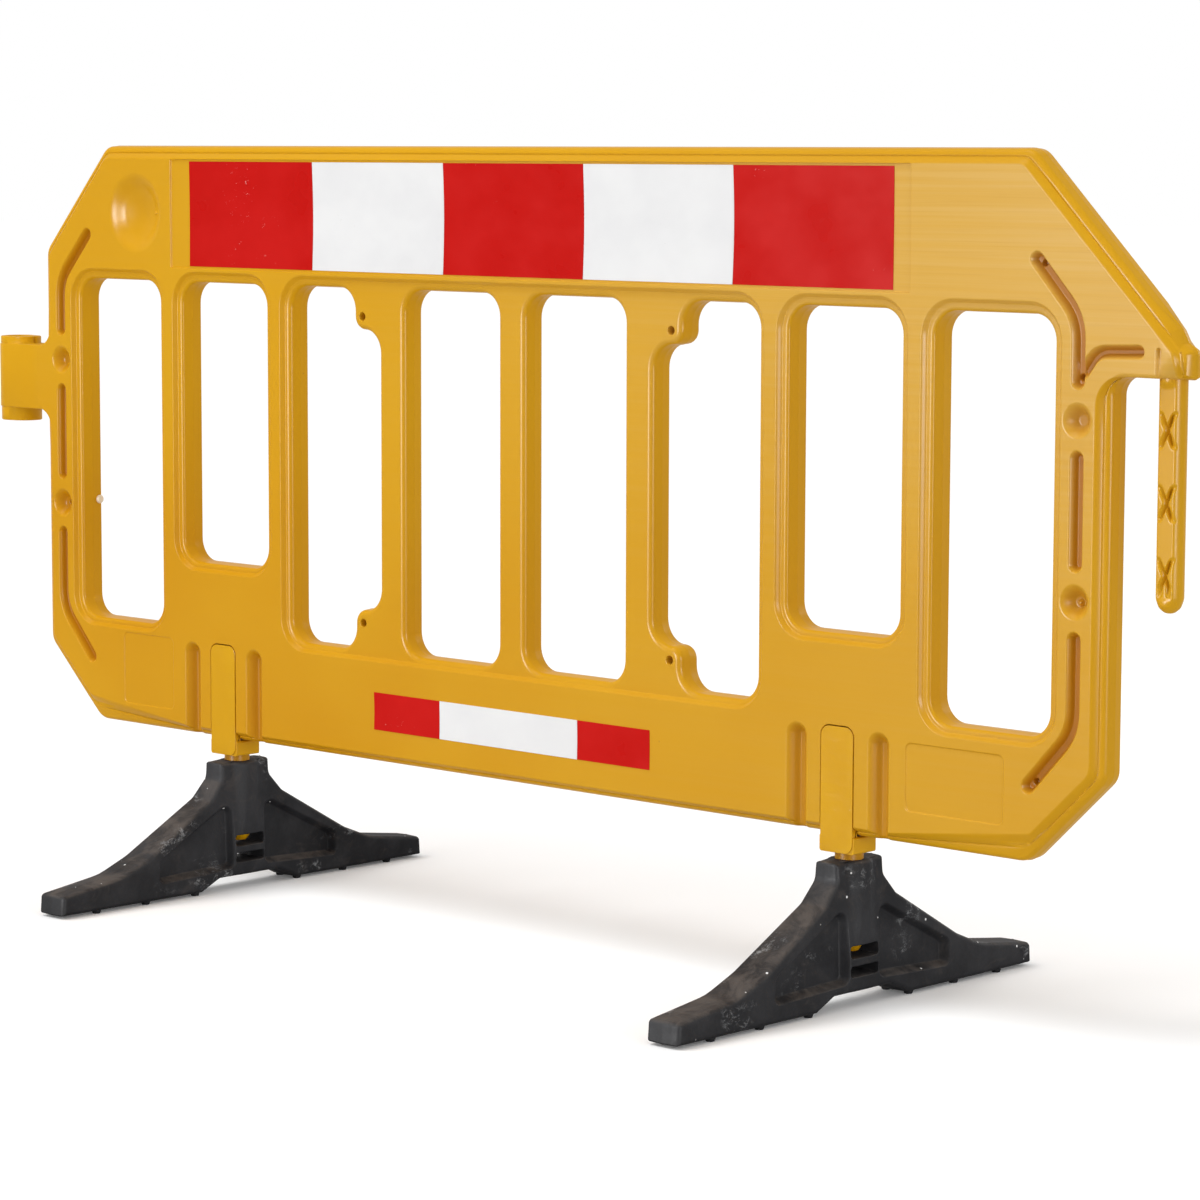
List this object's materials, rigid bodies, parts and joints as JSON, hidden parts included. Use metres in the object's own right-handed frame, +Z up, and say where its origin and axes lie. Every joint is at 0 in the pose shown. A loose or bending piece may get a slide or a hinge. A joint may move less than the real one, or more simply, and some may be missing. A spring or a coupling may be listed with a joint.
{
  "type": "crowd control barrier",
  "caption": "Moulded pedestrian barrier panel with windows, reflective strips, a coupling hook and loop, and swivelling rubber feet on leg brackets.",
  "frame": {"origin": "on the ground under the middle of the overall length, midway through the panel's thickness", "axes": "+X along the panel towards the hook, +Y from the front face to the rear face, +Z up"},
  "size_m": [2.042, 0.65, 1],
  "materials": {
    "panel_plastic": "satin moulded polyethylene with faint horizontal streaks",
    "bracket_plastic": "smooth semi-gloss injection-moulded plastic",
    "foot_rubber": "dull recycled rubber with pale scuffs and specks",
    "red_reflective": "smooth retroreflective sheet",
    "white_reflective": "smooth retroreflective sheet",
    "plug_plastic": "natural polyethylene"
  },
  "bodies": {
    "barrier": {"panel": "panel_plastic", "air_plug": "plug_plastic", "left_leg_bracket": "bracket_plastic", "right_leg_bracket": "bracket_plastic", "front_strip_1_red": "red_reflective", "front_strip_2_white": "white_reflective", "front_strip_3_red": "red_reflective", "front_strip_4_white": "white_reflective", "front_strip_5_red": "red_reflective", "front_sill_strip_1_red": "red_reflective", "front_sill_strip_2_white": "white_reflective", "front_sill_strip_3_red": "red_reflective", "rear_strip_1_red": "red_reflective", "rear_strip_2_white": "white_reflective", "rear_strip_3_red": "red_reflective", "rear_strip_4_white": "white_reflective", "rear_strip_5_red": "red_reflective", "rear_sill_strip_1_red": "red_reflective", "rear_sill_strip_2_white": "white_reflective", "rear_sill_strip_3_red": "red_reflective"},
    "left_foot": {"left_foot": "foot_rubber"},
    "right_foot": {"right_foot": "foot_rubber"}
  },
  "joints": [
    {"name": "left_foot_swivel", "type": "hinge", "parent": "barrier", "child": "left_foot", "pos_m": [-0.53525, 0, 0.12], "axis": [0, 0, 1], "range_deg": [-90, 90]},
    {"name": "right_foot_swivel", "type": "hinge", "parent": "barrier", "child": "right_foot", "pos_m": [0.54225, 0, 0.12], "axis": [0, 0, 1], "range_deg": [-90, 90]}
  ]
}
